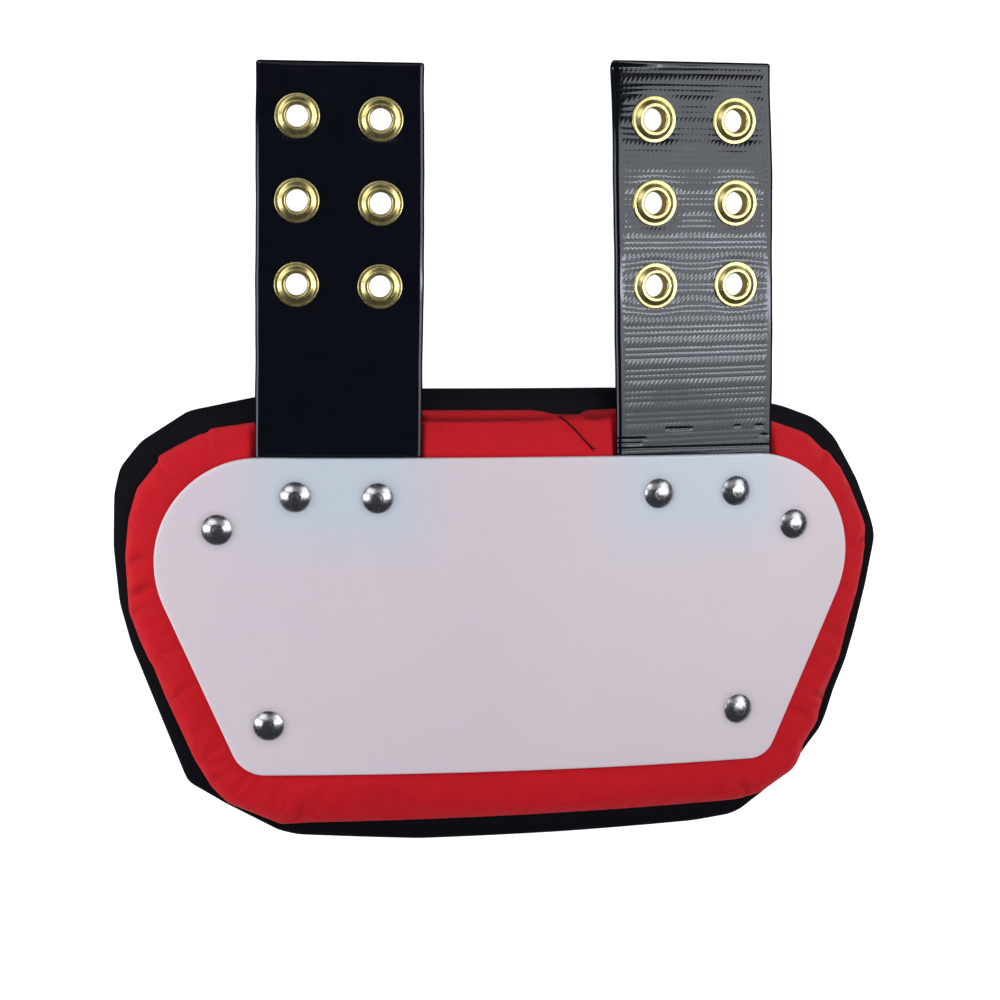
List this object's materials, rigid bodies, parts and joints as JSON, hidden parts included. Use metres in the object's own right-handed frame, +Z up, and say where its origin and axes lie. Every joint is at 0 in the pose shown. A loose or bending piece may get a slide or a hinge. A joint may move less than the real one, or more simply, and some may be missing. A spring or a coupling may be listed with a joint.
{
  "type": "football back plate",
  "caption": "Curved guard plate riveted over a sewn foam pad, with webbing straps whose grommets tie it below a player's shoulder pads.",
  "frame": {"origin": "on the table that the guard lies on, under the middle of its overall box", "axes": "+X to the right across the plate, +Y towards the strap ends, +Z up out of the plate's face"},
  "size_m": [0.2538, 0.2532, 0.0317],
  "materials": {
    "polyethylene": "moulded white sheet, smooth, slightly see-through, softly glossy",
    "coated_webbing": "black webbing under a glossy coat that shows the weave",
    "brass": "bright pressed brass",
    "plated_steel": "nickel plated, bright with a fine tumbled grain",
    "red_nylon": "matte woven nylon, fine ribs",
    "black_nylon": "matte woven nylon"
  },
  "bodies": {
    "root": {"pad_back": "black_nylon", "pad_front": "red_nylon", "plate": "polyethylene", "strap_left": "coated_webbing", "grommet_left_left_1": "brass", "grommet_left_left_2": "brass", "grommet_left_left_3": "brass", "grommet_left_right_1": "brass", "grommet_left_right_2": "brass", "grommet_left_right_3": "brass", "strap_right": "coated_webbing", "grommet_right_left_1": "brass", "grommet_right_left_2": "brass", "grommet_right_left_3": "brass", "grommet_right_right_1": "brass", "grommet_right_right_2": "brass", "grommet_right_right_3": "brass", "rivet_left_corner": "plated_steel", "rivet_left_strap_outer": "plated_steel", "rivet_left_strap_inner": "plated_steel", "rivet_left_bottom": "plated_steel", "rivet_right_corner": "plated_steel", "rivet_right_strap_outer": "plated_steel", "rivet_right_strap_inner": "plated_steel", "rivet_right_bottom": "plated_steel"}
  },
  "joints": []
}
